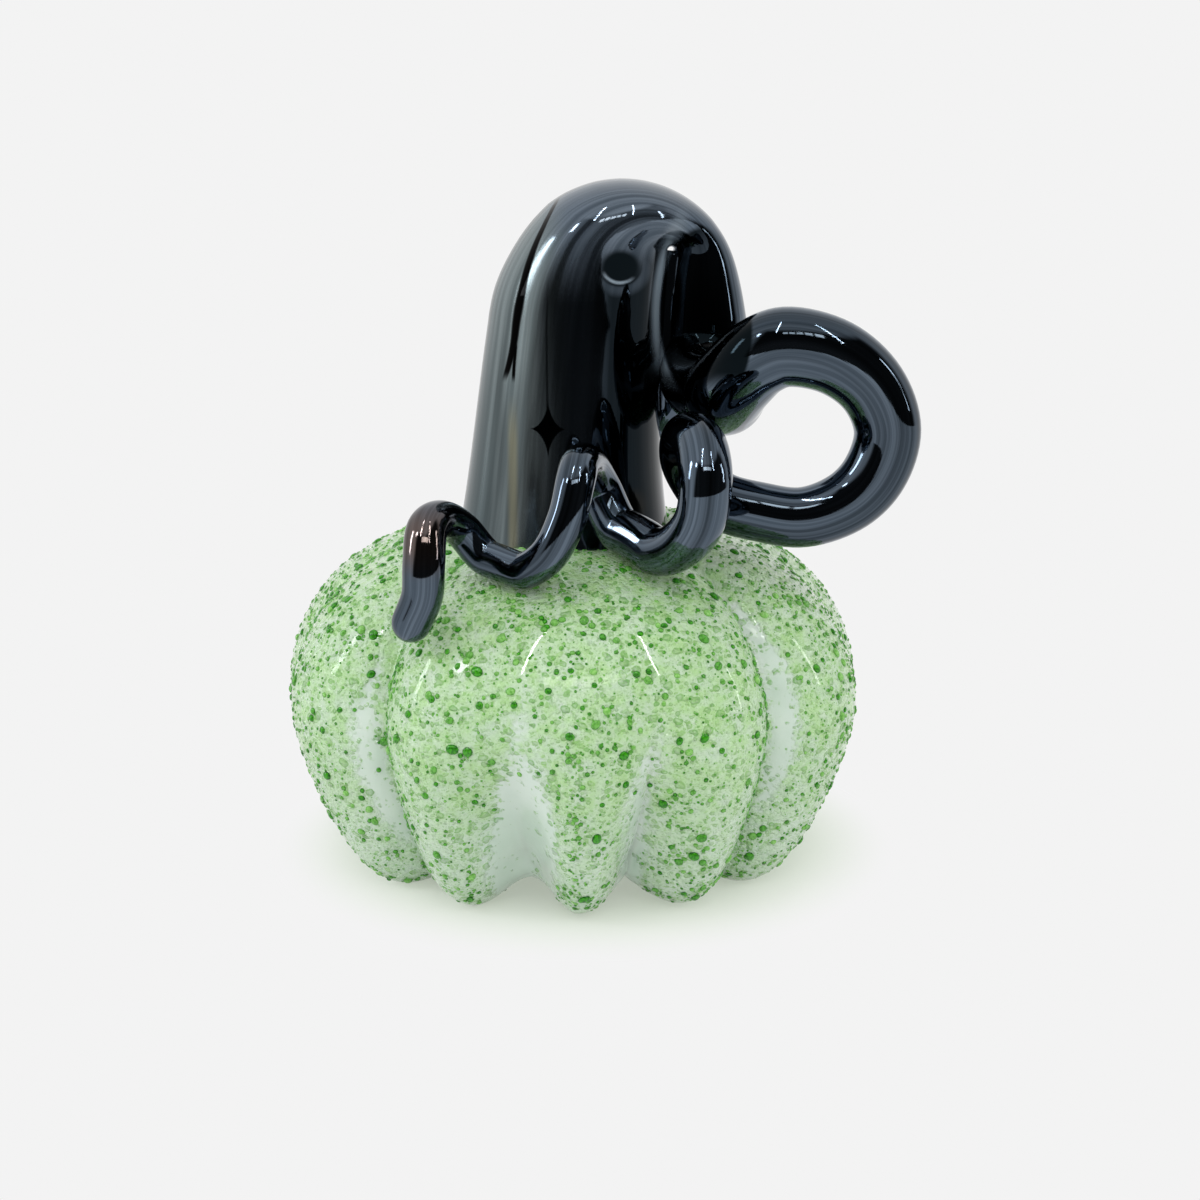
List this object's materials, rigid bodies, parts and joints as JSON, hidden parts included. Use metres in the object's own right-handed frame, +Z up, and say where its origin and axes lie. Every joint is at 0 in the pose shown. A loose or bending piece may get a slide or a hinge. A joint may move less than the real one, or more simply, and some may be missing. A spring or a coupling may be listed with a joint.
{
  "type": "glass pumpkin paperweight",
  "caption": "Ribbed blown glass pumpkin on ground feet, with a hooked dark stem and a curled glass tendril over its shoulder.",
  "frame": {"origin": "under the middle of the whole object's bounding box, on the plane of the feet", "axes": "+Z up, from the feet to the top of the hook; -Y is the front, where the tendril hangs; +X is the side of the tendril's big loop"},
  "size_m": [0.0962, 0.0936, 0.1042],
  "materials": {
    "opal_glass": "glossy opal white glass with green glass crumbs fused on its ribs",
    "black_glass": "glossy near-black glass with a pewter lustre"
  },
  "bodies": {
    "root": {"body": "opal_glass", "stem": "black_glass", "tendril": "black_glass"}
  },
  "joints": []
}
